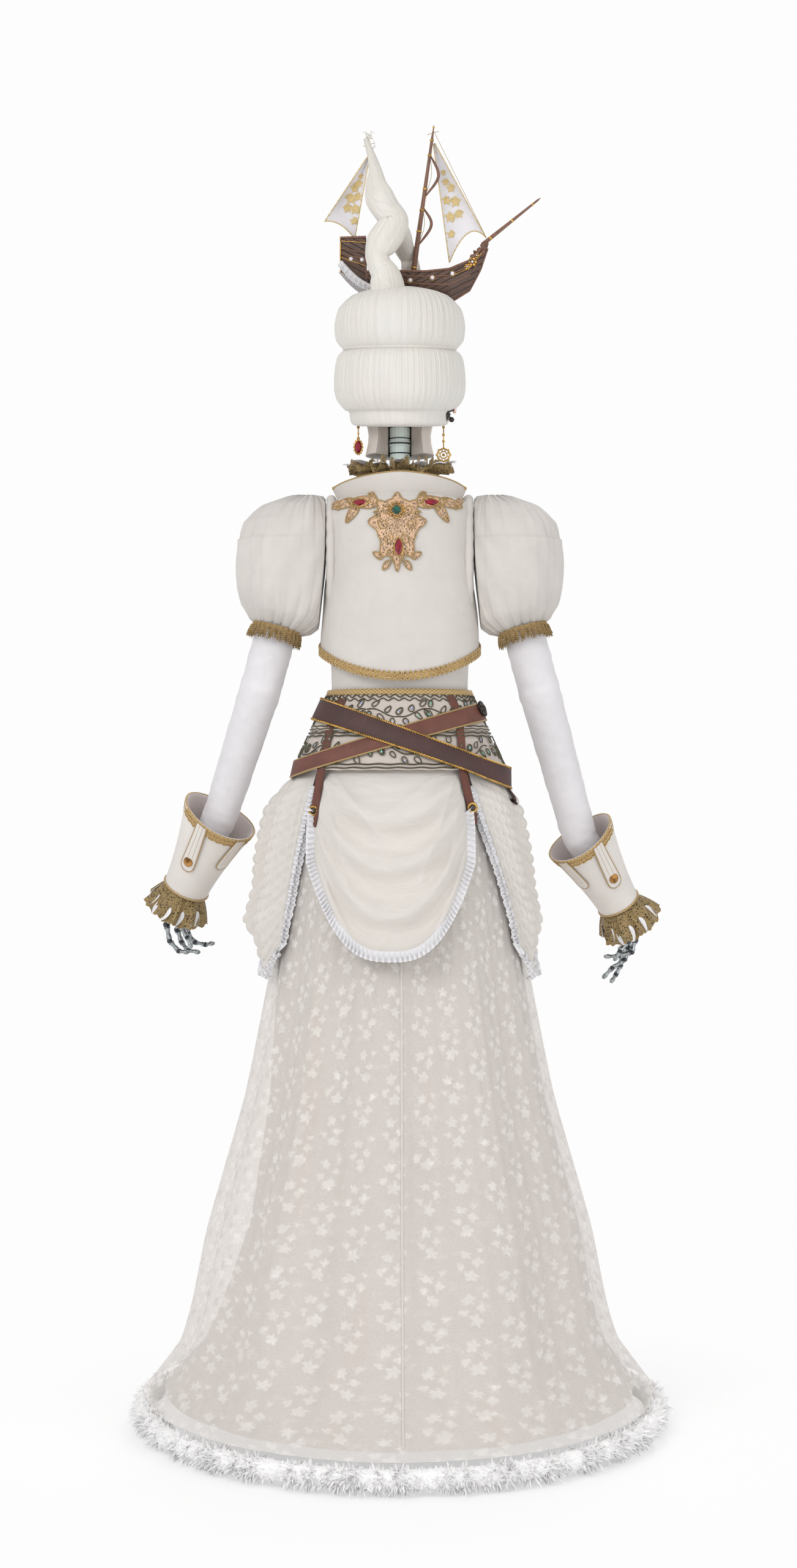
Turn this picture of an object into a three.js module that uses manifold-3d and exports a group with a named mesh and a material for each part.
// A life-size dressed pirate doll on a weighted stand. The doll faces +Y, its right hand is
// towards +X, and the origin is the centre of the base plate's underside, on the floor.
// Lengths are millimetres.
import * as THREE from 'three';
import { mergeVertices } from 'three/addons/utils/BufferGeometryUtils.js';
import Module from 'manifold-3d';

const wasm = await Module();
wasm.setup();

const fullTurn = 2 * Math.PI;
const degree = Math.PI / 180;

// Clearances shared by all pieces
const fitGap = 0.3;
const clothGap = 0.8;
const trimGap = 0.5;
const cutOverrun = 5;

// Facet counts
const bodySides = 32;
const skirtSides = 48;
const roundSides = 16;
const rodSides = 8;
const skullSides = 24;
const skullRows = 8;

// Rows and columns of points on the hanging and worn sheets
const swagGrid = [17, 11];
const drapeGrid = [12, 13];
const collarGrid = [3, 13];
const appliqueGrid = [5, 15];
const sailGrid = [7, 7];

// Stand
const base = { radius: 190, thickness: 10, sides: 32 };
const post = { radius: 16, socketDepth: 70 };

// Torso: level sections, each with its rise above the waist
const waistHeight = 1110;
const torso = {
  seat: { rise: -205, side: 124, back: 96, front: 84 },
  hip: { rise: -150, side: 126, back: 100, front: 86 },
  flank: { rise: -70, side: 112, back: 88, front: 82 },
  waist: { rise: 0, side: 103, back: 76, front: 78 },
  ribs: { rise: 80, side: 105, back: 82, front: 92 },
  bust: { rise: 165, side: 107, back: 88, front: 112 },
  chest: { rise: 250, side: 107, back: 86, front: 98 },
  shoulder: { rise: 302, side: 102, back: 70, front: 62 },
  slope: { rise: 316, side: 76, back: 58, front: 52 },
  neck: { rise: 326, side: 50, back: 46, front: 44 },
};

// Shoulder joint: a boss on the torso, with a bore for the arm's peg
const shoulder = {
  rise: 260,
  planeOffset: 114.3,
  bossRadius: 30,
  armholeGap: 2,
  pegRadius: 12,
  pegLength: 30,
  pegGap: 0.4,
};

// Skirt: an outer lace layer over a plain underskirt, with a fur tube round the hem
const skirt = {
  wall: 2.5,
  waistDrop: 15,
  hem: { side: 395, back: 462, front: 342 },
  folds: 12,
  foldDepth: 15,
};
const skirtHeightShares = [0, 0.1, 0.19, 0.39, 0.567, 0.758, 0.93, 1];
const skirtSideShares = [0, 0.14, 0.21, 0.33, 0.46, 0.66, 0.81, 1];
const skirtBackShares = [0, 0.12, 0.17, 0.29, 0.42, 0.6, 0.81, 1];
const skirtFrontShares = [0, 0.14, 0.21, 0.34, 0.47, 0.65, 0.83, 1];
const skirtFoldShares = [0, 0.06, 0.2, 0.55, 0.8, 1, 0.9, 0.15];
// Slow shifts of the folds round the skirt, each with its count, reach and phase
const foldShifts = [
  [1, 4.5 * degree, 46 * degree], [2, 3 * degree, 120 * degree], [3, 2 * degree, 240 * degree],
];
const underskirt = { wall: 2, waistDrop: 62, hemHeight: 66, hemInset: 20 };
// Skirt levels, counted up from the hem, that the underskirt follows
const underskirtLevels = [1, 2, 4, 6];
const fur = { radius: 20, height: 44, floorGap: 0.7, sides: 36, sectionSides: 6 };

// Sash round the waist, and the belts and straps over it
const sash = {
  wall: 3,
  topRise: 11,
  height: 120,
  bottom: { side: 165, back: 142, front: 136 },
};
const belts = {
  red: { wall: 2, width: 25, rise: -58.4, slope: 0.307 },
  dark: { wall: 2, width: 31, rise: -61, slope: -0.376 },
};
// Rounds in which a belt's height settles on the flaring sash
const beltSteps = 6;
const strap = { wall: 2, halfWidth: 6.2 };
const sashHemRise = sash.topRise - sash.height;
const strapRouteLeft = [
  { x: -87, rise: -1 }, { x: -104, rise: -38 }, { x: -115, rise: -87 },
  { x: -119, rise: sashHemRise }, { x: -129, rise: -172 }, { x: -130, rise: -197 },
];
const strapRouteRight = [
  { x: 76, rise: 4 }, { x: 88, rise: -24 }, { x: 93, rise: -62 },
  { x: 95, rise: sashHemRise }, { x: 108, rise: -167 }, { x: 115, rise: -192 },
];
const strapSteps = 3;
const stud = { radius: 5, height: 3, tipRise: 24 };
const rosette = { radius: 13, rim: 2, height: 7, angle: -14 * degree, rise: 5 };

// Overskirt, from the sash's hem: a cowl-folded swag behind and a cascading drape on each side
const swag = {
  wall: 3, topRise: 9, middleDrop: 273, cornerDrop: 139, topHalfWidth: 108, halfWidth: 116,
  shift: -14, bulge: 26, fold: 13, folds: 4, tuck: 5, widening: 110,
};
const swagCornerPower = 2.8;
const swagTuckShare = 0.04;
const swagRampShare = 0.16;
const swagSagShare = 0.17;
const drape = {
  wall: 3, topRise: 7, lowDrop: 311, scallop: 40, tuck: 0.9, leftReach: 46, rightReach: 24, folds: 3,
  leftTop: 32 * degree, rightTop: 46 * degree, backAngleLow: 27 * degree, frontAngle: 40 * degree,
};
const drapeDropShares = [0, 0.03, 0.08, 0.2, 0.3, 0.47, 0.59, 0.77, 0.86, 1];
const drapeReachShares = [0, 0.03, 0.45, 0.95, 1, 1, 0.9, 1.05, 0.55, 0.15];
const drapeValleyShare = 0.55;

// Upper clothes
const blouse = { wall: 2 };
const jacket = {
  wall: 2.5, backHem: 26, sideHem: 70, frontHem: 152, rowStep: 6, neckLip: 2,
  flare: 12, flareTop: 215, flareSpan: 145,
};
const braid = { wall: 2.4, height: 13, overlap: 1 };
const collar = {
  wall: 2.5, backTop: 344, tipTop: 323, sink: 22,
  low: { side: 100, back: 62 }, high: { side: 109, back: 76 },
};
const collarSpread = 72 * degree;
// Powers by which the jacket's hem and the collar's tips bend away from straight
const jacketHemPower = 1.5;
const collarTipPower = 1.5;
// A ruff round the neck, by rises above the jacket's neck edge
const ruff = {
  boreRadius: 22, lowSide: 58, lowBack: 50,
  pointRise: 18, pointTopRise: 27, pointSide: 82, pointBack: 57, pointDepth: 7,
  collarRise: 33, collarSide: 53, collarBack: 50,
  topRise: 46, topSide: 52, topBack: 48, lip: 8, points: 14,
};
// An applique on the jacket's back, by drops below the jacket's neck edge
const applique = {
  wall: 2.5, halfWidth: 99, topDrop: 29, sideTopDrop: 35, middleDrop: 128, sideDrop: 72,
  scallop: 9, stand: 2.2,
};

// Arms, given by an outward reach, a forward reach and a rise above the waist
const armHang = {
  left: {
    shoulderOut: 150, elbow: { out: 214, forward: -8, rise: 20 },
    rim: { out: 281, forward: 50, rise: -179 }, wrist: { out: 340.7, forward: 105, rise: -297.7 },
  },
  right: {
    shoulderOut: 150, elbow: { out: 215, forward: -8, rise: 16 },
    rim: { out: 282, forward: 52, rise: -213 }, wrist: { out: 348.7, forward: 102, rise: -322.2 },
  },
};
const armCrownShare = 0.82;
const arm = { topRadius: 31, upperRadius: 33, lowerRadius: 28, wristRadius: 24, topRise: 26 };
const sleeve = {
  topRise: 54, bottomDrop: 148, pleat: 4, pleats: 6, sides: 24, swingRoom: 14,
  bottom: { inside: 142, outside: 231, depth: 44 },
  widest: { inside: 96, outside: 252, depth: 78 },
  top: { inside: 122, outside: 172, depth: 24 },
};
// Height share and swell share of each level, from the rim up to the crown
const sleeveRimShares = [[0, 0], [0.1, 0.55], [0.3, 0.95], [0.55, 1]];
const sleeveCrownShares = [[0.8, 0.85], [0.93, 0.5], [1, 0]];
const sleeveSlantShare = 0.3;
const fringe = { height: 27, inner: 34.4, outer: 42, flare: 3, sides: 16 };
const gauntlet = {
  left: { rimRadius: 60, wristRadius: 36.5 },
  right: { rimRadius: 56, wristRadius: 34 },
  wall: 3, seat: 6, sides: 16,
};
const ruffle = {
  wall: 2.5, topRadius: 31, bottomRadius: 57, length: 44, scallop: 5, scallops: 12, sides: 24,
};
const gauntletWaistShare = 0.56;
const ruffleBellShare = 0.62;
const wristPeg = { radius: 9, length: 22, gap: 0.4 };
const palm = { topRadius: 19, halfThickness: 9, sideReach: 11, endGap: 5 };
const palmWristShare = 0.15;
const palmHeelShare = 0.5;
const digit = { knuckleRadius: 6.6, baseRadius: 5.2, tipRadius: 4, cupGap: 0.5, sides: 6 };
// Each digit's knuckle and bends, as an outward, a forward and an upward step from the wrist
const handRoutes = {
  left: {
    thumb: [[9, 0, -59], [-2, 0, -78], [-8, 0, -92]],
    index_finger: [[32, 15, -59], [27, 15, -85], [13, 15, -101], [0, 15, -103]],
    middle_finger: [[16, 33, -68], [10, 33, -87], [0, 33, -101], [-17, 33, -104]],
    ring_finger: [[2, 51, -74], [-10, 51, -89], [-27, 51, -93], [-39, 51, -91]],
  },
  right: {
    thumb: [[14, 0, -60], [2, 0, -76], [-6, 0, -88]],
    index_finger: [[27, 16, -59], [22, 16, -78], [1, 16, -84], [-19, 16, -85]],
    middle_finger: [[19, 34, -71], [12, 34, -91], [-8, 34, -105], [-21, 34, -119]],
    ring_finger: [[9, 52, -82], [7, 52, -102], [0, 52, -116], [-7, 52, -127]],
  },
};

// Head, neck and hair
const neck = {
  columnRadius: 16, ringRadius: 17.3, ringHeight: 9, ringRise: 21, shellRadius: 54,
  channelRadius: 18.2, mouthHalfWidth: 37, mouthDepth: 39, shellGap: 2, shellTopDrop: 22,
  columnTopDrop: 8, columnGap: 0.6, chinGap: 20,
};
const neckThroat = 15 * degree;
const skull = { side: 72, depth: 92, halfHeight: 84, forward: 5, overJaw: 64 };
const jaw = { side: 50, depth: 54, halfHeight: 52, forward: 38 };
// Hair, earrings and ship are given by rises above the middle of the skull
const lowerRoll = { seat: 0.7, span: 210 * degree, steps: 14 };
const lowerRollOutline = [
  [0, -20], [0, 20], [7, 29], [15, 30.6], [25, 17], [29, -18], [26, -43], [14, -60],
  [6, -65], [4, -78], [-1, -85], [-13, -85], [-15, -70], [-6, -46],
];
const upperRoll = { bottom: 31.2, cavityGap: 0.6 };
const upperRollLevels = [
  { rise: 0, side: 89, back: 103, front: 86 },
  { rise: 14, side: 99, back: 114, front: 95 },
  { rise: 38, side: 101.5, back: 117, front: 98 },
  { rise: 62, side: 95, back: 110, front: 92 },
  { rise: 80, side: 76, back: 90, front: 75 },
  { rise: 90, side: 44, back: 54, front: 44 },
];
// The seam between the rolls rises over the forehead and dips behind, and the upper roll's
// first levels with it
const hairline = 13;
const hairlineLevels = 3;
const plumeRoute = [
  [-17, -62, 92, 26], [-19, -66, 117, 27], [-23, -68, 135, 26], [-31, -68, 150, 21],
  [-34, -68, 165, 20], [-28, -68, 181, 24], [-16, -67, 199, 24], [-8, -65, 218, 23],
  [-21, -63, 236, 25], [-31, -61, 254, 24], [-36, -59, 273, 17], [-37, -57, 292, 11],
  [-41, -55, 311, 8], [-47, -53, 330, 6], [-53, -51, 347, 4],
];
const plumeSideRoute = [
  [17, 24, 151, 15], [17, 24, 164, 16], [14, 22, 178, 16], [6, 6, 192, 16],
  [2, -16, 204, 16], [-2, -38, 212, 16], [-6, -58, 216, 16],
];
const earring = {
  left: { out: 64.5, rise: -88 }, right: { out: 68, rise: -88 },
  ballRadius: 2.5, wireRadius: 1.2, dropTop: 17, dropMiddle: 31, dropBottom: 46, dropRadius: 7.5,
  ringRadius: 9.5, ringWire: 2.3, ringCentre: 43, wireSides: 6,
};

// Model ship carried on the hair
const ship = { seatGap: 0.5 };
// The narrow bow rises by more of a clearance than the other stations
const bowRailShare = 3;
const hullStations = [
  { x: -91, deck: 202, keel: 154, beam: 22 }, { x: -52, deck: 202, keel: 130, beam: 28 },
  { x: -51, deck: 148, keel: 129, beam: 28 }, { x: -10, deck: 148, keel: 118, beam: 31 },
  { x: 40, deck: 148, keel: 109, beam: 30 }, { x: 76, deck: 153, keel: 104, beam: 25 },
  { x: 108, deck: 168, keel: 124, beam: 15 }, { x: 125, deck: 186, keel: 156, beam: 8 },
  { x: 137, deck: 201, keel: 192, beam: 3 },
];
const mast = {
  main: { foot: [20, 144], tip: [53, 380] }, mizzen: { foot: [-19.5, 144], tip: [-49, 361] },
  footRadius: 4.5, tipRadius: 1.8, yardRadius: 2.2,
};
const yards = [
  [[47, 334], [60, 301], [39, 268]],
  [[36, 253], [49, 225], [28, 192]],
];
const yardSteps = 4;
const yardSides = 6;
const spar = { foot: [130, 196], tip: [218.5, 267], footRadius: 3.4, tipRadius: 1.5 };
const sail = { wall: 1.6, seat: 0.5, billow: 11 };
const sailHeadShare = 0.04;
const foreSailEdges = {
  head: [51, 359], foot: [77, 167], tack: [134, 206], footHollow: 26,
};
const mizzenSailEdges = {
  head: [-45.5, 339], foot: [-70, 204], tack: [-117, 231], footHollow: 9,
};

// Geometry helpers

function mix(from, to, share) {
  return from + (to - from) * share;
}

// Interpolates a value in a table of rising shares.
function tableAt(keys, values, key) {
  let k = 1;
  while (k < keys.length - 1 && key > keys[k]) {
    k += 1;
  }
  return mix(values[k - 1], values[k], (key - keys[k - 1]) / (keys[k] - keys[k - 1]));
}

function smooth(share) {
  const t = Math.min(1, Math.max(0, share));
  return t * t * (3 - 2 * t);
}

// Makes a closed body from points and triangles, turned so that its faces point out.
function closedBody(points, triangles) {
  let volume = 0;
  for (const [a, b, c] of triangles) {
    const [p, q, r] = [points[a], points[b], points[c]];
    volume += p[0] * (q[1] * r[2] - q[2] * r[1]);
    volume += p[1] * (q[2] * r[0] - q[0] * r[2]);
    volume += p[2] * (q[0] * r[1] - q[1] * r[0]);
  }
  const turned = volume < 0 ? triangles.map(([a, b, c]) => [a, c, b]) : triangles;
  const geometry = new THREE.BufferGeometry();
  geometry.setAttribute('position', new THREE.Float32BufferAttribute(points.flat(), 3));
  geometry.setIndex(turned.flat());
  return geometry;
}

// Joins rings of points, each with the same count. Closed rows make a tube shaped like a tyre,
// open rows a solid with a fan of triangles over each end.
function ringSolid(rings, closedRows) {
  const count = rings[0].length;
  const points = rings.flat();
  const triangles = [];
  const rows = closedRows ? rings.length : rings.length - 1;
  for (let row = 0; row < rows; row += 1) {
    const here = row * count;
    const next = ((row + 1) % rings.length) * count;
    for (let side = 0; side < count; side += 1) {
      const turn = (side + 1) % count;
      triangles.push([here + side, here + turn, next + turn]);
      triangles.push([here + side, next + turn, next + side]);
    }
  }
  if (!closedRows) {
    for (const [start, flip] of [[0, true], [(rings.length - 1) * count, false]]) {
      const centre = [0, 1, 2].map((axis) => {
        let total = 0;
        for (let side = 0; side < count; side += 1) {
          total += points[start + side][axis];
        }
        return total / count;
      });
      points.push(centre);
      for (let side = 0; side < count; side += 1) {
        const a = start + side;
        const b = start + (side + 1) % count;
        triangles.push(flip ? [b, a, points.length - 1] : [a, b, points.length - 1]);
      }
    }
  }
  return closedBody(points, triangles);
}

// Wraps closed rows of points round the whole turn.
function wrapped(rowCount, sides, pointAt) {
  const rings = [];
  for (let row = 0; row < rowCount; row += 1) {
    const ring = [];
    for (let side = 0; side < sides; side += 1) {
      ring.push(pointAt(row, side * fullTurn / sides));
    }
    rings.push(ring);
  }
  return ringSolid(rings, true);
}

// Closes the space between two grids of points of the same size.
function sheetSolid(outer, inner) {
  const rows = outer.length;
  const columns = outer[0].length;
  const points = [...outer.flat(), ...inner.flat()];
  const half = rows * columns;
  const triangles = [];
  const quad = (a, b, c, d) => {
    triangles.push([a, b, c]);
    triangles.push([a, c, d]);
  };
  for (let row = 0; row < rows - 1; row += 1) {
    for (let column = 0; column < columns - 1; column += 1) {
      const a = row * columns + column;
      quad(a, a + 1, a + columns + 1, a + columns);
      quad(half + a, half + a + columns, half + a + columns + 1, half + a + 1);
    }
  }
  const rim = [];
  for (let column = 0; column < columns; column += 1) {
    rim.push(column);
  }
  for (let row = 1; row < rows; row += 1) {
    rim.push(row * columns + columns - 1);
  }
  for (let column = columns - 2; column >= 0; column -= 1) {
    rim.push((rows - 1) * columns + column);
  }
  for (let row = rows - 2; row > 0; row -= 1) {
    rim.push(row * columns);
  }
  rim.forEach((from, k) => {
    const to = rim[(k + 1) % rim.length];
    quad(to, from, half + from, half + to);
  });
  return closedBody(points, triangles);
}

function grid(rows, columns, pointAt) {
  const lines = [];
  for (let row = 0; row < rows; row += 1) {
    const line = [];
    for (let column = 0; column < columns; column += 1) {
      line.push(pointAt(row / (rows - 1), column / (columns - 1)));
    }
    lines.push(line);
  }
  return lines;
}

// A round rod through points, with its own radius at each of them.
function rod(route, radii, sides) {
  const places = route.map((place) => new THREE.Vector3(...place));
  const rings = [];
  const across = new THREE.Vector3();
  places.forEach((place, k) => {
    const before = places[Math.max(0, k - 1)];
    const after = places[Math.min(places.length - 1, k + 1)];
    const along = new THREE.Vector3().subVectors(after, before).normalize();
    if (k === 0) {
      across.set(0, 1, 0);
      if (Math.abs(along.y) > Math.SQRT1_2) {
        across.set(1, 0, 0);
      }
    }
    across.addScaledVector(along, -across.dot(along)).normalize();
    const third = new THREE.Vector3().crossVectors(along, across);
    const ring = [];
    for (let side = 0; side < sides; side += 1) {
      const angle = side * fullTurn / sides;
      const point = place.clone();
      point.addScaledVector(across, radii[k] * Math.cos(angle));
      point.addScaledVector(third, radii[k] * Math.sin(angle));
      ring.push(point.toArray());
    }
    rings.push(ring);
  });
  return ringSolid(rings, false);
}

function along(start, direction, distance) {
  return start.clone().addScaledVector(direction, distance);
}

// A body of level oval sections, the lowest first, with straight sides between them.
function ovalStack(levels) {
  const heights = levels.map((level) => level.z);
  const read = (name, z) => tableAt(heights, levels.map((level) => level[name]), z);
  return {
    levels,
    at: (z) => ({ z, side: read('side', z), back: read('back', z), front: read('front', z) }),
  };
}

function ovalPoint(section, angle, grow, lift = 0) {
  const depth = Math.sin(angle) > 0 ? section.front : section.back;
  return [
    (section.side + grow) * Math.cos(angle),
    (depth + grow) * Math.sin(angle),
    section.z + lift,
  ];
}

// Depth of an oval section behind the middle, at a distance across.
function backAt(section, x, grow) {
  const share = Math.min(1, Math.abs(x) / (section.side + grow));
  return (section.back + grow) * Math.sqrt(1 - share * share);
}

function stackSolid(stack, sides, grow = 0) {
  const rings = stack.levels.map((level) => {
    const ring = [];
    for (let side = 0; side < sides; side += 1) {
      ring.push(ovalPoint(level, side * fullTurn / sides, grow));
    }
    return ring;
  });
  return ringSolid(rings, false);
}

// Booleans
function toSolid(geometry) {
  const bare = new THREE.BufferGeometry();
  bare.setAttribute('position', geometry.getAttribute('position').clone());
  if (geometry.index) {
    bare.setIndex(geometry.index.clone());
  }
  const merged = mergeVertices(bare);
  const mesh = new wasm.Mesh({
    numProp: 3,
    vertProperties: new Float32Array(merged.getAttribute('position').array),
    triVerts: new Uint32Array(merged.index.array),
  });
  return new wasm.Manifold(mesh);
}

function fromSolid(solid) {
  const { vertProperties, triVerts } = solid.getMesh();
  const geometry = new THREE.BufferGeometry();
  geometry.setAttribute('position', new THREE.BufferAttribute(vertProperties, 3));
  geometry.setIndex(new THREE.BufferAttribute(triVerts, 1));
  return geometry;
}

function joined(...geometries) {
  return fromSolid(geometries.map(toSolid).reduce((all, next) => all.add(next)));
}

function cutBy(geometry, ...tools) {
  return fromSolid(tools.map(toSolid).reduce((left, tool) => left.subtract(tool), toSolid(geometry)));
}

function moved(geometry, x, y, z) {
  return geometry.clone().translate(x, y, z);
}

function material(color, roughness, metalness = 0) {
  return new THREE.MeshStandardMaterial({ color, roughness, metalness });
}

function piece(name, geometry, look) {
  const mesh = new THREE.Mesh(geometry, look);
  mesh.name = name;
  return mesh;
}

// Stand

function basePlate() {
  const disc = new THREE.CylinderGeometry(base.radius, base.radius, base.thickness, base.sides);
  disc.rotateX(Math.PI / 2);
  const mesh = piece('base_plate', disc, material(0x2b2b2d, 0.5, 0.6));
  mesh.position.z = base.thickness / 2;
  return mesh;
}

const torsoLevels = Object.values(torso).map(({ rise, side, back, front }) => (
  { z: waistHeight + rise, side, back, front }
));
const torsoStack = ovalStack(torsoLevels);
const torsoBottom = waistHeight + torso.seat.rise;
const torsoTop = waistHeight + torso.neck.rise;
const shoulderHeight = waistHeight + shoulder.rise;

function standPost() {
  const foot = [0, 0, base.thickness + fitGap];
  const head = [0, 0, torsoBottom + post.socketDepth];
  const geometry = rod([foot, head], [post.radius, post.radius], roundSides);
  return piece('stand_post', geometry, material(0x8f9296, 0.35, 0.9));
}

// A level rod across one shoulder, centred on the arm's pivot.
function shoulderRod(side, from, to, radius) {
  const route = [[side * from, 0, shoulderHeight], [side * to, 0, shoulderHeight]];
  return rod(route, [radius, radius], roundSides);
}

function torsoForm() {
  const bossEnd = shoulder.planeOffset - fitGap;
  const boreStart = shoulder.planeOffset - shoulder.pegLength - fitGap;
  const boreRadius = shoulder.pegRadius + shoulder.pegGap;
  const bosses = [-1, 1].map((side) => shoulderRod(side, 0, bossEnd, shoulder.bossRadius));
  const bores = [-1, 1].map((side) => shoulderRod(side, boreStart, bossEnd + cutOverrun, boreRadius));
  const socketTop = torsoBottom + post.socketDepth + fitGap;
  const socketRadius = post.radius + fitGap;
  const socketRoute = [[0, 0, torsoBottom - cutOverrun], [0, 0, socketTop]];
  const socket = rod(socketRoute, [socketRadius, socketRadius], roundSides);
  const body = joined(stackSolid(torsoStack, bodySides), ...bosses);
  return piece('torso_form', cutBy(body, ...bores, socket), material(0xd9cfc2, 0.8));
}

// Skirts

const skirtTopHeight = waistHeight - skirt.waistDrop;
const skirtHemHeight = fur.height + trimGap;

function skirtLevels() {
  const waist = torsoStack.at(skirtTopHeight);
  const grow = clothGap + skirt.wall;
  const levels = skirtHeightShares.map((share, k) => ({
    z: mix(skirtTopHeight, skirtHemHeight, share),
    side: mix(waist.side + grow, skirt.hem.side, skirtSideShares[k]),
    back: mix(waist.back + grow, skirt.hem.back, skirtBackShares[k]),
    front: mix(waist.front + grow, skirt.hem.front, skirtFrontShares[k]),
  }));
  return levels.reverse();
}

const skirtStack = ovalStack(skirtLevels());
const skirtFoldAtLevel = [...skirtFoldShares].reverse();

// The skirts' folds draw them in by a share of the full depth.
function skirtFold(share, angle) {
  return skirt.foldDepth * share * (1 - Math.cos(skirt.folds * angle)) / 2;
}

// Where round the skirt a turn of its folds lies.
function foldTurn(angle) {
  return foldShifts.reduce((turn, [count, reach, phase]) => (
    turn + reach * Math.sin(count * angle + phase)
  ), angle);
}

function laceSkirt() {
  const { levels } = skirtStack;
  const geometry = wrapped(2 * levels.length, skirtSides, (row, angle) => {
    const outside = row < levels.length;
    const level = outside ? row : 2 * levels.length - 1 - row;
    const grow = outside ? 0 : -skirt.wall;
    const fold = skirtFold(skirtFoldAtLevel[level], angle);
    return ovalPoint(levels[level], foldTurn(angle), grow - fold);
  });
  return piece('lace_skirt', geometry, material(0xe9e4df, 0.85));
}

// The underskirt hangs in the same folds, further in towards its hem.
function underSkirt() {
  const top = waistHeight - underskirt.waistDrop;
  const inner = underskirtLevels.map((k) => skirtStack.levels[k]);
  const heights = [underskirt.hemHeight, ...inner.map((level) => level.z), top];
  const foldShare = (z) => {
    const keys = skirtStack.levels.map((level) => level.z);
    return tableAt(keys, skirtFoldAtLevel, z);
  };
  const geometry = wrapped(2 * heights.length, skirtSides, (row, angle) => {
    const outside = row < heights.length;
    const z = heights[outside ? row : 2 * heights.length - 1 - row];
    const low = (top - z) / (top - underskirt.hemHeight);
    const inset = clothGap + skirt.wall + underskirt.hemInset * low + (outside ? 0 : underskirt.wall);
    return ovalPoint(skirtStack.at(z), foldTurn(angle), -inset - skirtFold(foldShare(z), angle));
  });
  return piece('underskirt', geometry, material(0xdcd3cc, 0.9));
}

function furHem() {
  const path = { ...skirtStack.levels[0], z: (fur.height + fur.floorGap) / 2 };
  const halfHeight = (fur.height - fur.floorGap) / 2;
  const cornerReach = fur.radius / Math.cos(fullTurn / (2 * fur.sectionSides));
  const geometry = wrapped(fur.sectionSides, fur.sides, (row, angle) => {
    const turn = (row + 0.5) * fullTurn / fur.sectionSides;
    const grow = cornerReach * Math.cos(turn) - skirt.wall / 2;
    return ovalPoint(path, angle, grow, halfHeight * Math.sin(turn));
  });
  return piece('fur_hem', geometry, material(0xe9e8ea, 0.95));
}

// Waist: sash, belts, straps and their metal

const sashTop = waistHeight + sash.topRise;
const sashBottom = waistHeight + sashHemRise;

function sashLevels() {
  const waist = torsoStack.at(sashTop);
  const grow = 2 * clothGap + blouse.wall + sash.wall;
  const top = {
    z: sashTop, side: waist.side + grow, back: waist.back + grow, front: waist.front + grow,
  };
  return [{ z: sashBottom, ...sash.bottom }, top];
}

const sashStack = ovalStack(sashLevels());

function waistSash() {
  const { levels } = sashStack;
  const geometry = wrapped(2 * levels.length, bodySides, (row, angle) => {
    const outside = row < levels.length;
    const level = levels[outside ? row : 2 * levels.length - 1 - row];
    return ovalPoint(level, angle, outside ? 0 : -sash.wall);
  });
  return piece('waist_sash', geometry, material(0xcfc6bb, 0.85));
}

// Layers over the sash, counted outwards from its face.
const strapOuter = clothGap + strap.wall;
const redInner = strapOuter + clothGap;
const darkInner = redInner + belts.red.wall + clothGap;

// Height of a sloping belt's middle at a turn round the sash.
function beltMiddle(belt, angle) {
  let z = waistHeight + belt.rise;
  for (let step = 0; step < beltSteps; step += 1) {
    z = waistHeight + belt.rise + belt.slope * ovalPoint(sashStack.at(z), angle, 0)[0];
  }
  return z;
}

function beltRing(belt, inner) {
  const corners = [[-1, 0], [-1, 1], [1, 1], [1, 0]];
  return wrapped(corners.length, bodySides, (row, angle) => {
    const [up, out] = corners[row];
    const z = beltMiddle(belt, angle) + up * belt.width / 2;
    return ovalPoint(sashStack.at(z), angle, inner + out * belt.wall);
  });
}

function redBelt() {
  return piece('red_belt', beltRing(belts.red, redInner), material(0x6f443b, 0.55));
}

function darkBelt() {
  return piece('dark_belt', beltRing(belts.dark, darkInner), material(0x4b3736, 0.5));
}

// Overskirt

const swagTop = sashBottom + swag.topRise;

// Half of the swag's width at a height.
function swagHalfWidth(z) {
  return mix(swag.topHalfWidth, swag.halfWidth, smooth((swagTop - z) / swag.widening));
}

function swagLow(across) {
  return sashBottom - mix(swag.middleDrop, swag.cornerDrop, Math.abs(across) ** swagCornerPower);
}

// How far the swag stands off the skirt, across (-1 to 1) and down (0 to 1).
function swagReach(across, down) {
  const room = (1 - across ** 4) * smooth((down - swagTuckShare) / swagRampShare);
  const turns = swag.folds * (down - swagSagShare * (1 - across * across));
  const cowl = (1 - Math.cos(fullTurn * turns)) / 2;
  return swag.tuck + room * (swag.bulge * (1 - down / 2) + swag.fold * cowl);
}

function backSwag() {
  const layer = (out) => grid(...swagGrid, (down, share) => {
    const across = 2 * share - 1;
    const z = mix(swagTop, swagLow(across), down);
    const x = swag.shift + across * swagHalfWidth(z);
    return [x, -backAt(skirtStack.at(z), x, 0) - swagReach(across, down) - out, z];
  });
  return piece('back_swag', sheetSolid(layer(swag.wall), layer(0)), material(0xece6dd, 0.85));
}

// Depth of the swag's face behind the middle, at a place across and a height.
function swagFace(x, z) {
  const across = Math.max(-1, Math.min(1, (x - swag.shift) / swagHalfWidth(z)));
  const down = (swagTop - z) / (swagTop - swagLow(across));
  return backAt(skirtStack.at(z), x, 0) + swagReach(across, down) + swag.wall;
}

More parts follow.
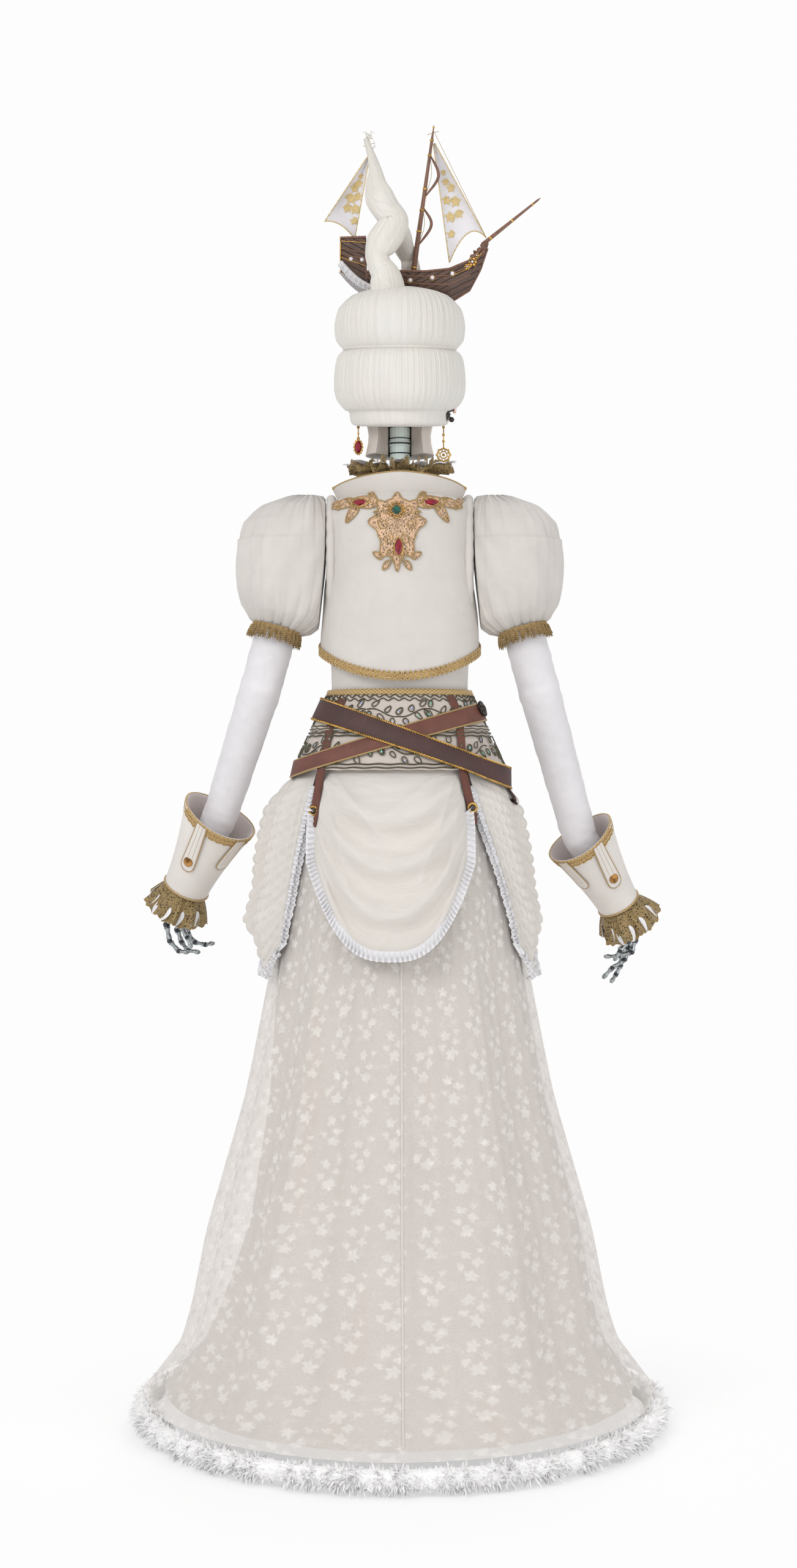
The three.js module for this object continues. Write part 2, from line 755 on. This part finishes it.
// A drape over one hip, folded in and out as it hangs, with a scalloped lower edge.
function sideDrape(name, side, reach, backAngleTop) {
  const layer = (out) => grid(...drapeGrid, (down, share) => {
    const backAngle = mix(backAngleTop, drape.backAngleLow, smooth(down));
    const turn = mix(-drape.frontAngle, backAngle, share);
    const valley = (1 + Math.cos(drape.folds * fullTurn * share)) / 2;
    const z = sashBottom + mix(drape.topRise, drape.scallop * valley - drape.lowDrop, down);
    const edge = 1 - (2 * share - 1) ** 4;
    const fold = 1 - drapeValleyShare * valley;
    const stand = reach * edge * fold * tableAt(drapeDropShares, drapeReachShares, down);
    const angle = side > 0 ? -turn : Math.PI + turn;
    return ovalPoint(skirtStack.at(z), angle, drape.tuck + stand + out);
  });
  return piece(name, sheetSolid(layer(drape.wall), layer(0)), material(0xece6dd, 0.85));
}

// A strap hangs over the sash, then over the swag.
function strapFace(x, z) {
  const overSash = backAt(sashStack.at(Math.max(z, sashBottom)), x, 0);
  const overSwag = z < sashBottom ? swagFace(x, z) : 0;
  return Math.max(overSash, overSwag) + clothGap;
}

function strapCentre(route, share) {
  const keys = route.map((place, k) => k / (route.length - 1));
  const x = tableAt(keys, route.map((place) => place.x), share);
  return { x, z: waistHeight + tableAt(keys, route.map((place) => place.rise), share) };
}

function hangingStrap(name, route) {
  const rows = strapSteps * (route.length - 1) + 1;
  const layer = (out) => grid(rows, 2, (down, share) => {
    const centre = strapCentre(route, down);
    const x = centre.x + mix(-strap.halfWidth, strap.halfWidth, share);
    return [x, -strapFace(x, centre.z) - out, centre.z];
  });
  return piece(name, sheetSolid(layer(strap.wall), layer(0)), material(0x6e3f33, 0.55));
}

function strapStud(name, route) {
  const z = waistHeight + route[route.length - 1].rise + stud.tipRise;
  const { x } = route[route.length - 2];
  const surface = (sideways, upward) => new THREE.Vector3(
    x + sideways, -strapFace(x + sideways, z + upward) - strap.wall, z + upward);
  const [left, right] = [surface(-strap.halfWidth, 0), surface(strap.halfWidth, 0)];
  const [below, above] = [surface(0, -stud.radius), surface(0, stud.radius)];
  const across = new THREE.Vector3().subVectors(right, left);
  const outward = new THREE.Vector3().subVectors(above, below).cross(across).negate().normalize();
  const middle = surface(0, 0);
  const bulge = Math.max(...[left, right, below, above].map((spot) => (
    new THREE.Vector3().subVectors(spot, middle).dot(outward)
  )), 0);
  const disc = new THREE.CylinderGeometry(stud.radius, stud.radius, stud.height, rodSides);
  const mesh = piece(name, disc, material(0xb98a52, 0.35, 0.9));
  mesh.quaternion.setFromUnitVectors(new THREE.Vector3(0, 1, 0), outward);
  mesh.position.copy(along(middle, outward, bulge + clothGap + stud.height / 2));
  return mesh;
}

function beltRosette() {
  const outward = darkInner;
  const z = beltMiddle(belts.red, rosette.angle) + rosette.rise;
  const seat = new THREE.Vector3(...ovalPoint(sashStack.at(z), rosette.angle, outward));
  const flare = (sash.bottom.side - sashStack.levels[1].side) / sash.height;
  const normal = new THREE.Vector3(Math.cos(rosette.angle), Math.sin(rosette.angle), flare).normalize();
  const disc = new THREE.CylinderGeometry(
    rosette.radius - rosette.rim, rosette.radius, rosette.height, roundSides);
  const mesh = piece('belt_rosette', disc, material(0x2c2422, 0.4, 0.5));
  mesh.quaternion.setFromUnitVectors(new THREE.Vector3(0, 1, 0), normal);
  mesh.position.copy(seat).addScaledVector(normal, rosette.height / 2 + fitGap);
  return mesh;
}

// Upper clothes, in layers counted outwards from the torso

const blouseInner = clothGap;
const jacketInner = 2 * clothGap + blouse.wall;
const jacketOuter = jacketInner + jacket.wall;
const jacketNeckRise = torso.neck.rise + jacket.neckLip;
const neckEdge = waistHeight + jacketNeckRise;

function blousePiece() {
  const bottom = skirtTopHeight + trimGap;
  const heights = [bottom, waistHeight, waistHeight + torso.ribs.rise];
  const geometry = wrapped(2 * heights.length, bodySides, (row, angle) => {
    const outside = row < heights.length;
    const z = heights[outside ? row : 2 * heights.length - 1 - row];
    return ovalPoint(torsoStack.at(z), angle, blouseInner + (outside ? blouse.wall : 0));
  });
  return piece('blouse', geometry, material(0xe2dcd8, 0.85));
}

// The jacket's lower edge dips behind and rises in front.
function jacketHem(angle) {
  const turn = Math.sin(angle);
  const end = turn < 0 ? jacket.backHem : jacket.frontHem;
  return waistHeight + mix(jacket.sideHem, end, Math.abs(turn) ** jacketHemPower);
}

// How far the jacket stands out at a height: it hangs wider towards its hem.
function jacketFlare(z) {
  return jacket.flare * smooth((waistHeight + jacket.flareTop - z) / jacket.flareSpan);
}

function jacketHeight(row, angle) {
  const rises = [0, torso.ribs.rise, torso.bust.rise, torso.chest.rise, torso.shoulder.rise,
    torso.slope.rise, jacketNeckRise];
  const hem = jacketHem(angle);
  return row === 0 ? hem : Math.max(waistHeight + rises[row], hem + row * jacket.rowStep);
}

const jacketRows = 7;

function jacketHull() {
  const rings = [];
  for (let row = 0; row < jacketRows; row += 1) {
    const ring = [];
    for (let side = 0; side < bodySides; side += 1) {
      const angle = side * fullTurn / bodySides;
      const z = jacketHeight(row, angle);
      ring.push(ovalPoint(torsoStack.at(z), angle, jacketOuter + jacketFlare(z)));
    }
    rings.push(ring);
  }
  return ringSolid(rings, false);
}

function jacketBody() {
  const shell = wrapped(2 * jacketRows, bodySides, (row, angle) => {
    const outside = row < jacketRows;
    const z = jacketHeight(outside ? row : 2 * jacketRows - 1 - row, angle);
    const layer = outside ? jacketOuter : jacketInner;
    return ovalPoint(torsoStack.at(z), angle, layer + jacketFlare(z));
  });
  const holeRadius = shoulder.bossRadius + shoulder.armholeGap;
  const start = shoulder.planeOffset - shoulder.pegLength;
  const holes = [-1, 1].map((side) => (
    shoulderRod(side, start, shoulder.planeOffset + cutOverrun, holeRadius)
  ));
  return piece('jacket_body', cutBy(shell, ...holes), material(0xe2dcd8, 0.85));
}

function jacketBraid() {
  const corners = [[0, 0], [0, 1], [1, 1], [1, 0]];
  const geometry = wrapped(corners.length, bodySides, (row, angle) => {
    const [up, out] = corners[row];
    const z = jacketHem(angle) - braid.overlap + up * braid.height;
    const layer = jacketOuter + jacketFlare(jacketHem(angle)) + clothGap;
    return ovalPoint(torsoStack.at(z), angle, layer + out * braid.wall);
  });
  return piece('jacket_braid', geometry, material(0xc9a35a, 0.5, 0.4));
}

function jacketCollar(hull) {
  const lowHeight = neckEdge - collar.sink;
  const layer = (out) => grid(...collarGrid, (up, share) => {
    const across = 2 * share - 1;
    const angle = -Math.PI / 2 + across * collarSpread;
    const topRise = mix(collar.backTop, collar.tipTop, Math.abs(across) ** collarTipPower);
    const section = {
      z: mix(lowHeight, waistHeight + topRise, up),
      side: mix(collar.low.side, collar.high.side, up),
      back: mix(collar.low.back, collar.high.back, up),
    };
    return ovalPoint(section, angle, out);
  });
  const band = sheetSolid(layer(0), layer(-collar.wall));
  return piece('jacket_collar', cutBy(band, moved(hull, 0, 0, trimGap)), material(0xe2dcd8, 0.8));
}

function backApplique() {
  const layer = (out) => grid(...appliqueGrid, (up, share) => {
    const across = 2 * share - 1;
    const scallop = applique.scallop * Math.cos(3 * fullTurn * across) / 2;
    const drop = mix(applique.middleDrop, applique.sideDrop, Math.abs(across)) - scallop;
    const lowRise = jacketNeckRise - drop;
    const highRise = jacketNeckRise - mix(applique.topDrop, applique.sideTopDrop, across * across);
    const bendRise = Math.max(torso.chest.rise, lowRise + applique.scallop);
    const rise = tableAt([0, 0.5, 1], [lowRise, bendRise, highRise], up);
    const z = waistHeight + rise;
    const x = across * applique.halfWidth;
    const back = backAt(torsoStack.at(z), x, jacketOuter + jacketFlare(z));
    return [x, -back - applique.stand - out, z];
  });
  const plate = sheetSolid(layer(applique.wall), layer(0));
  return piece('back_applique', plate, material(0xc2a06a, 0.5, 0.3));
}

// A pleated ruff round the neck, with points lying out over the shoulders.
function neckRuff() {
  const profile = [
    { rise: trimGap, side: ruff.boreRadius, back: ruff.boreRadius, wave: 0 },
    { rise: trimGap, side: ruff.lowSide, back: ruff.lowBack, wave: 0 },
    { rise: ruff.pointRise, side: ruff.pointSide, back: ruff.pointBack, wave: 1 },
    { rise: ruff.pointTopRise, side: ruff.pointSide, back: ruff.pointBack, wave: 1 },
    { rise: ruff.collarRise, side: ruff.collarSide, back: ruff.collarBack, wave: 0 },
    { rise: ruff.topRise, side: ruff.topSide, back: ruff.topBack, wave: 0.5 },
    { rise: ruff.topRise, side: ruff.topSide - ruff.lip, back: ruff.topBack - ruff.lip, wave: 0.5 },
    { rise: ruff.pointTopRise, side: ruff.boreRadius, back: ruff.boreRadius, wave: 0 },
  ];
  const geometry = wrapped(profile.length, 2 * ruff.points, (row, angle) => {
    const { rise, side, back, wave } = profile[row];
    const grow = -wave * ruff.pointDepth * (1 - Math.cos(ruff.points * angle)) / 2;
    return ovalPoint({ z: neckEdge + rise, side, back, front: back }, angle, grow);
  });
  return piece('neck_ruff', geometry, material(0xa08a4c, 0.6, 0.2));
}

// Arms

function place(side, point) {
  return new THREE.Vector3(side * point.out, point.forward, waistHeight + point.rise);
}

// The points and directions that one arm and its cuff are built from.
function armFrame(side, hang) {
  const pivot = new THREE.Vector3(side * hang.shoulderOut, 0, shoulderHeight);
  const elbow = place(side, hang.elbow);
  const rim = place(side, hang.rim);
  const wrist = place(side, hang.wrist);
  return {
    side, pivot, elbow, rim, wrist,
    upper: new THREE.Vector3().subVectors(elbow, pivot).normalize(),
    fore: new THREE.Vector3().subVectors(wrist, rim).normalize(),
    cuffLength: rim.distanceTo(wrist),
  };
}

const leftArm = armFrame(-1, armHang.left);
const rightArm = armFrame(1, armHang.right);

function armBody(frame, grow) {
  const top = frame.pivot.clone();
  top.z += arm.topRise;
  const route = [top, frame.pivot, frame.elbow, frame.rim, frame.wrist];
  const radii = [
    arm.topRadius * armCrownShare, arm.topRadius, arm.upperRadius, arm.lowerRadius, arm.wristRadius,
  ];
  const middle = new THREE.Vector3().lerpVectors(frame.elbow, frame.rim, 0.5);
  route.splice(3, 0, middle);
  radii.splice(3, 0, mix(arm.upperRadius, arm.lowerRadius, 0.5));
  const limb = rod(route.map((point) => point.toArray()), radii.map((r) => r + grow), roundSides);
  const tip = shoulder.planeOffset - shoulder.pegLength;
  const peg = shoulderRod(frame.side, tip, armHang.left.shoulderOut, shoulder.pegRadius + grow);
  return joined(limb, peg);
}

function armPiece(name, frame) {
  const depth = -wristPeg.length - fitGap;
  const bore = rod(
    [along(frame.wrist, frame.fore, depth).toArray(),
      along(frame.wrist, frame.fore, cutOverrun).toArray()],
    [wristPeg.radius + wristPeg.gap, wristPeg.radius + wristPeg.gap], roundSides);
  return piece(name, cutBy(armBody(frame, 0), bore), material(0xe0dde0, 0.5));
}

// Where the upper arm passes a height.
function upperArmAt(frame, z) {
  return along(frame.pivot, frame.upper, (z - frame.pivot.z) / frame.upper.z);
}

function puffSleeve(name, frame) {
  const low = shoulderHeight - sleeve.bottomDrop;
  const high = shoulderHeight + sleeve.topRise;
  const rim = upperArmAt(frame, low);
  const levels = [
    ...sleeveRimShares.map(([up, swell]) => [up, swell, sleeve.bottom]),
    ...sleeveCrownShares.map(([up, swell]) => [up, swell, sleeve.top]),
  ];
  const rings = levels.map(([up, swell, end]) => {
    const inside = mix(end.inside, sleeve.widest.inside, swell);
    const outside = mix(end.outside, sleeve.widest.outside, swell);
    const depth = mix(end.depth, sleeve.widest.depth, swell);
    const ring = [];
    for (let k = 0; k < sleeve.sides; k += 1) {
      const angle = k * fullTurn / sleeve.sides;
      const pleat = sleeve.pleat * (1 - Math.cos(sleeve.pleats * angle)) / 2;
      const reach = (outside + inside) / 2 + ((outside - inside) / 2 - pleat) * Math.cos(angle);
      const y = (depth - pleat) * Math.sin(angle);
      const heightAt = (x) => {
        const slant = -(frame.upper.x * (x - rim.x) + frame.upper.y * (y - rim.y)) / frame.upper.z;
        return mix(low, high, up) + fitGap + slant * (1 - smooth(up / sleeveSlantShare));
      };
      const swing = Math.hypot(y, heightAt(frame.side * reach) - shoulderHeight);
      const clear = shoulder.planeOffset + jacketFlare(shoulderHeight - swing - sleeve.swingRoom);
      const x = frame.side * Math.max(reach, clear);
      ring.push([x, y, heightAt(x)]);
    }
    return ring;
  });
  const body = cutBy(ringSolid(rings, false), armBody(frame, clothGap));
  return piece(name, body, material(0xe2dcd8, 0.8));
}

// A ring of revolution round a direction, from a closed profile of [distance, radius].
function ringAround(start, direction, profile, sides, wave = () => 0) {
  const across = new THREE.Vector3(0, 1, 0).addScaledVector(direction, -direction.y).normalize();
  const third = new THREE.Vector3().crossVectors(direction, across);
  return wrapped(profile.length, sides, (row, angle) => {
    const [distance, radius] = profile[row];
    const reach = radius + wave(row, angle);
    const point = along(start, direction, distance);
    point.addScaledVector(across, reach * Math.cos(angle));
    point.addScaledVector(third, reach * Math.sin(angle));
    return point.toArray();
  });
}

function sleeveFringe(name, frame) {
  const start = upperArmAt(frame, shoulderHeight - sleeve.bottomDrop);
  const inner = arm.upperRadius + clothGap;
  const profile = [
    [fitGap, inner], [fitGap, fringe.outer], [fringe.height, fringe.outer + fringe.flare],
    [fringe.height, inner + fringe.flare],
  ];
  const geometry = ringAround(start, frame.upper, profile, fringe.sides);
  return piece(name, geometry, material(0xb9975a, 0.6, 0.2));
}

function gauntletPiece(name, frame, size) {
  const length = frame.cuffLength;
  const middle = mix(size.rimRadius, size.wristRadius, gauntletWaistShare);
  const seatRadius = arm.wristRadius + (arm.lowerRadius - arm.wristRadius) * gauntlet.seat / length;
  const profile = [
    [0, size.rimRadius], [length / 2, middle], [length, size.wristRadius],
    [length, seatRadius + trimGap], [length - gauntlet.seat, seatRadius + trimGap],
    [length - gauntlet.seat, size.wristRadius - gauntlet.wall], [length / 2, middle - gauntlet.wall],
    [0, size.rimRadius - gauntlet.wall],
  ];
  const geometry = ringAround(frame.rim, frame.fore, profile, gauntlet.sides);
  return piece(name, geometry, material(0xe2dcd8, 0.7));
}

function wristRuffle(name, frame) {
  const { length, wall } = ruffle;
  const middle = mix(ruffle.topRadius, ruffle.bottomRadius, ruffleBellShare);
  const profile = [
    [fitGap, ruffle.topRadius], [length / 2, middle], [length, ruffle.bottomRadius],
    [length, ruffle.bottomRadius - wall], [length / 2, middle - wall],
    [fitGap, ruffle.topRadius - wall],
  ];
  const geometry = ringAround(frame.wrist, frame.fore, profile, ruffle.sides, (row, angle) => (
    -ruffle.scallop * profile[row][0] / length * (1 - Math.cos(ruffle.scallops * angle)) / 2
  ));
  return piece(name, geometry, material(0x9a8344, 0.65, 0.2));
}

// Hands

function routePlaces(frame, route) {
  return route.map(([out, forward, up]) => (
    frame.wrist.clone().add(new THREE.Vector3(frame.side * out, forward, up))
  ));
}

function palmPiece(name, frame, routes) {
  const first = routePlaces(frame, routes.index_finger)[0];
  const last = routePlaces(frame, routes.ring_finger)[0];
  const thumb = routePlaces(frame, routes.thumb)[0];
  const end = new THREE.Vector3().lerpVectors(first, last, 0.5);
  const reach = new THREE.Vector3().subVectors(end, frame.wrist).normalize();
  end.addScaledVector(reach, -palm.endGap);
  const row = new THREE.Vector3().subVectors(last, first);
  const halfRow = row.length() / 2 + palm.sideReach;
  const rings = [[0, 0], [palmWristShare, 0], [palmHeelShare, 0.7], [1, 1]].map(([down, spread], k) => {
    const facing = k < 2 ? frame.fore : reach;
    const centre = k < 2
      ? along(frame.wrist, frame.fore, fitGap + down * frame.wrist.distanceTo(end))
      : new THREE.Vector3().lerpVectors(frame.wrist, end, down);
    const wide = row.clone().addScaledVector(facing, (spread - 1) * row.dot(facing)).normalize();
    const thick = new THREE.Vector3().crossVectors(facing, wide).normalize();
    const ring = [];
    for (let side = 0; side < rodSides; side += 1) {
      const angle = side * fullTurn / rodSides;
      const point = centre.clone();
      point.addScaledVector(wide, mix(palm.topRadius, halfRow, spread) * Math.cos(angle));
      point.addScaledVector(thick, mix(palm.topRadius, palm.halfThickness, spread) * Math.sin(angle));
      ring.push(point.toArray());
    }
    return ring;
  });
  const peg = rod(
    [along(frame.wrist, frame.fore, -wristPeg.length).toArray(),
      along(frame.wrist, frame.fore, cutOverrun).toArray()],
    [wristPeg.radius, wristPeg.radius], roundSides);
  const heel = new THREE.Vector3().lerpVectors(frame.wrist, end, palmHeelShare);
  const thumbArm = rod([heel.toArray(), thumb.toArray()], [digit.baseRadius, digit.baseRadius], digit.sides);
  const cups = Object.values(routes).map((route) => {
    const cup = new THREE.SphereGeometry(digit.knuckleRadius + digit.cupGap, rodSides, digit.sides);
    const [x, y, z] = routePlaces(frame, route)[0].toArray();
    return cup.translate(x, y, z);
  });
  const body = cutBy(joined(ringSolid(rings, false), peg, thumbArm), ...cups);
  return piece(name, body, material(0x9aa0a2, 0.35, 0.9));
}

function digitPiece(name, frame, route) {
  const places = routePlaces(frame, route);
  const knuckle = places[0];
  const radii = places.map((point, k) => (
    mix(digit.baseRadius, digit.tipRadius, k / (places.length - 1))
  ));
  const stem = rod(places.map((point) => point.clone().sub(knuckle).toArray()), radii, digit.sides);
  const ball = new THREE.SphereGeometry(digit.knuckleRadius, rodSides, digit.sides);
  const mesh = piece(name, joined(stem, ball), material(0x8f9597, 0.35, 0.9));
  mesh.position.copy(knuckle);
  return mesh;
}

function armPieces(sideName, frame, cuff, routes) {
  const group = new THREE.Group();
  group.add(armPiece(`arm_${sideName}`, frame));
  group.add(puffSleeve(`puff_sleeve_${sideName}`, frame));
  group.add(sleeveFringe(`sleeve_fringe_${sideName}`, frame));
  group.add(gauntletPiece(`gauntlet_${sideName}`, frame, cuff));
  group.add(wristRuffle(`wrist_ruffle_${sideName}`, frame));
  group.add(palmPiece(`palm_${sideName}`, frame, routes));
  for (const [digitName, route] of Object.entries(routes)) {
    group.add(digitPiece(`${digitName}_${sideName}`, frame, route));
  }
  return group;
}

// Neck and head

const ruffTop = neckEdge + ruff.topRise;
const jawHeight = ruffTop + neck.chinGap + jaw.halfHeight;
const skullHeight = jawHeight + skull.overJaw;
const shellBottom = ruffTop + neck.shellGap;
const shellTop = jawHeight - neck.shellTopDrop;
const columnTop = jawHeight - neck.columnTopDrop;

function neckColumn() {
  const { columnRadius, ringRadius, ringHeight } = neck;
  const ringMiddle = ruffTop + neck.ringRise;
  const foot = torsoTop + fitGap;
  const profile = [
    [0, foot], [columnRadius, foot], [columnRadius, ringMiddle - ringHeight / 2],
    [ringRadius, ringMiddle - ringHeight / 4], [ringRadius, ringMiddle + ringHeight / 4],
    [columnRadius, ringMiddle + ringHeight / 2], [columnRadius, columnTop], [0, columnTop],
  ].map(([radius, height]) => new THREE.Vector2(radius, height));
  const geometry = new THREE.LatheGeometry(profile, roundSides).rotateX(Math.PI / 2);
  return piece('neck_column', geometry, material(0xb9cdc8, 0.35, 0.2));
}

// A shell round the column, open behind, that turns with the head.
function neckShell() {
  const mouth = Math.atan2(-neck.mouthDepth, neck.mouthHalfWidth);
  const outline = new THREE.Shape();
  outline.moveTo(neck.shellRadius * Math.cos(mouth), neck.shellRadius * Math.sin(mouth));
  outline.absarc(0, 0, neck.shellRadius, mouth, Math.PI - mouth, false);
  outline.absarc(0, 0, neck.channelRadius, Math.PI + neckThroat, -neckThroat, true);
  outline.closePath();
  const geometry = new THREE.ExtrudeGeometry(outline, {
    depth: shellTop - shellBottom, bevelEnabled: false, curveSegments: rodSides,
  });
  const mesh = piece('neck_shell', geometry, material(0xb5aca2, 0.45, 0.3));
  mesh.position.z = shellBottom;
  return mesh;
}

function ellipsoid({ side, depth, halfHeight, forward }, height, grow) {
  const ball = new THREE.SphereGeometry(1, skullSides, skullRows).rotateX(Math.PI / 2);
  ball.scale(side + grow, depth + grow, halfHeight + grow);
  return ball.translate(0, forward, height);
}

function headPiece() {
  const clear = (neck.shellRadius + trimGap) / Math.cos(Math.PI / roundSides);
  const neckRoom = rod(
    [[0, 0, shellBottom - cutOverrun], [0, 0, shellTop + fitGap]], [clear, clear],
    roundSides);
  const boreRadius = neck.columnRadius + neck.columnGap;
  const bore = rod(
    [[0, 0, shellBottom], [0, 0, columnTop + fitGap]], [boreRadius, boreRadius],
    roundSides);
  const body = cutBy(joined(ellipsoid(skull, skullHeight, 0), ellipsoid(jaw, jawHeight, 0)), neckRoom, bore);
  return piece('head', body, material(0xd9b9a4, 0.5));
}

function skullPoint(angle, offset, z) {
  return [
    (skull.side + offset) * Math.cos(angle), skull.forward + (skull.depth + offset) * Math.sin(angle), z,
  ];
}

// The lower roll of hair wraps round the back of the head from ear to ear.
function hairLowerRoll() {
  const rings = [];
  for (let step = 0; step <= lowerRoll.steps; step += 1) {
    const angle = -Math.PI / 2 + lowerRoll.span * (step / lowerRoll.steps - 0.5);
    const lift = hairline * Math.sin(angle);
    rings.push(lowerRollOutline.map(([offset, rise]) => (
      skullPoint(angle, lowerRoll.seat + offset, skullHeight + rise + lift)
    )));
  }
  return piece('hair_lower_roll', ringSolid(rings, false), material(0xdedad0, 0.6));
}

function hairDome(grow) {
  const rings = upperRollLevels.map(({ rise, side, back, front }, k) => {
    const ring = [];
    for (let step = 0; step < skullSides; step += 1) {
      const angle = step * fullTurn / skullSides;
      const lift = hairline * Math.sin(angle) * Math.max(0, 1 - k / hairlineLevels);
      const z = skullHeight + upperRoll.bottom + rise + (k === 0 ? -grow : grow);
      ring.push(ovalPoint({ z, side, back, front }, angle, grow, lift));
    }
    return ring;
  });
  return ringSolid(rings, false);
}

function hairUpperRoll() {
  const cavity = ellipsoid(skull, skullHeight, upperRoll.cavityGap);
  const body = cutBy(hairDome(0), cavity, hullBody(ship.seatGap));
  return piece('hair_upper_roll', body, material(0xe0ddda, 0.6));
}

function hairPlume() {
  const strand = (route) => rod(
    route.map(([x, y, rise]) => [x, y, skullHeight + rise]), route.map((p) => p[3]), rodSides);
  const body = cutBy(
    joined(strand(plumeRoute), strand(plumeSideRoute)), hairDome(trimGap), hullBody(trimGap));
  return piece('hair_plume', body, material(0xe6e4e4, 0.55));
}

function earringPiece(name, side, size, withRing) {
  const top = earring.ballRadius;
  const profile = withRing
    ? [[0, top], [top, 0], [earring.wireRadius, -top], [earring.wireRadius, -earring.ringCentre
      + earring.ringRadius], [0, -earring.ringCentre + earring.ringRadius]]
    : [[0, top], [top, 0], [earring.wireRadius, -top], [earring.wireRadius, -earring.dropTop],
      [earring.dropRadius, -earring.dropMiddle], [0, -earring.dropBottom]];
  const points = profile.map(([radius, height]) => new THREE.Vector2(radius, height)).reverse();
  const stem = new THREE.LatheGeometry(points, rodSides).rotateX(Math.PI / 2);
  const hoop = new THREE.TorusGeometry(earring.ringRadius, earring.ringWire, earring.wireSides, roundSides);
  hoop.rotateX(Math.PI / 2).translate(0, 0, -earring.ringCentre);
  const geometry = withRing ? joined(stem, hoop) : stem;
  const mesh = piece(name, geometry, material(withRing ? 0xc9a35a : 0xa81030, 0.2, 0.5));
  mesh.position.set(side * size.out, skull.forward, skullHeight + size.rise);
  return mesh;
}

// Ship

// One section of the hull from rail to rail, as shares of its half width and depth.
const hullSectionShares = [
  [-1, 0], [-0.97, 0.35], [-0.7, 0.75], [0, 1], [0.7, 0.75], [0.97, 0.35], [1, 0],
];

function hullBody(grow) {
  const rings = hullStations.map(({ x, deck, keel, beam }, k) => {
    const bowEnd = k === hullStations.length - 1;
    const shift = [-grow, grow, grow][k] ?? (bowEnd ? grow : 0);
    const rail = skullHeight + deck + (bowEnd ? bowRailShare : 1) * grow;
    return hullSectionShares.map(([across, down]) => [
      x + shift, across * (beam + grow), mix(rail, skullHeight + keel - grow, down),
    ]);
  });
  return ringSolid(rings, false);
}

// A place in the ship's middle plane, given by its x and its rise above the skull's middle.
function shipPlace([x, rise]) {
  return [x, 0, skullHeight + rise];
}

function mastRod(size) {
  return rod([shipPlace(size.foot), shipPlace(size.tip)], [mast.footRadius, mast.tipRadius], rodSides);
}

function yardRod(route) {
  const curve = new THREE.CatmullRomCurve3(route.map((place) => new THREE.Vector3(...shipPlace(place))));
  const places = curve.getPoints(yardSteps).map((point) => point.toArray());
  return rod(places, places.map(() => mast.yardRadius), yardSides);
}

function mainMast() {
  const body = joined(mastRod(mast.main), ...yards.map(yardRod));
  return piece('main_mast', cutBy(body, hullBody(fitGap)), material(0x8f6656, 0.6));
}

function mizzenMast() {
  return piece('mizzen_mast', cutBy(mastRod(mast.mizzen), hullBody(fitGap)), material(0x8f6656, 0.6));
}

function bowsprit() {
  const route = [shipPlace(spar.foot), shipPlace(spar.tip)];
  const body = cutBy(rod(route, [spar.footRadius, spar.tipRadius], rodSides), hullBody(fitGap));
  return piece('bowsprit', body, material(0x8f6656, 0.6));
}

// A sail from its head down to the edge between foot and tack, which is hollowed upwards.
function sailPiece(name, edges) {
  const { head, foot, tack, footHollow } = edges;
  const layer = (out) => grid(...sailGrid, (share, across) => {
    const down = mix(sailHeadShare, 1, share);
    const x = mix(head[0], mix(foot[0], tack[0], across), down);
    const z = skullHeight + mix(head[1], mix(foot[1], tack[1], across), down);
    const hollow = footHollow * down * down * 4 * across * (1 - across);
    const billow = sail.billow * Math.sin(Math.PI * down) * Math.sin(Math.PI * across);
    return [x, mast.yardRadius + sail.seat + billow + out, z + hollow];
  });
  return piece(name, sheetSolid(layer(sail.wall), layer(0)), material(0xeceaf0, 0.6));
}

// The whole doll

const stand = new THREE.Group();
stand.add(basePlate(), standPost(), torsoForm());

const skirts = new THREE.Group();
skirts.add(underSkirt(), laceSkirt(), furHem(), backSwag());
skirts.add(sideDrape('side_drape_left', -1, drape.leftReach, drape.leftTop));
skirts.add(sideDrape('side_drape_right', 1, drape.rightReach, drape.rightTop));

const waist = new THREE.Group();
waist.add(waistSash(), redBelt(), darkBelt(), beltRosette());
for (const [sideName, route] of [['left', strapRouteLeft], ['right', strapRouteRight]]) {
  waist.add(hangingStrap(`strap_${sideName}`, route), strapStud(`strap_stud_${sideName}`, route));
}

const clothes = new THREE.Group();
const outerHull = jacketHull();
clothes.add(blousePiece(), jacketBody(), jacketBraid(), jacketCollar(outerHull));
clothes.add(backApplique(), neckRuff());

const head = new THREE.Group();
head.add(neckShell(), headPiece(), hairLowerRoll(), hairUpperRoll(), hairPlume());
head.add(earringPiece('earring_left', -1, earring.left, false));
head.add(earringPiece('earring_right', 1, earring.right, true));

const modelShip = new THREE.Group();
modelShip.add(piece('ship_hull', hullBody(0), material(0x5a4540, 0.55)));
modelShip.add(mainMast(), mizzenMast(), bowsprit());
modelShip.add(sailPiece('fore_sail', foreSailEdges), sailPiece('mizzen_sail', mizzenSailEdges));
head.add(modelShip);

const doll = new THREE.Group();
doll.add(stand, skirts, waist, clothes, neckColumn(), head);
doll.add(armPieces('left', leftArm, gauntlet.left, handRoutes.left));
doll.add(armPieces('right', rightArm, gauntlet.right, handRoutes.right));

export default doll;
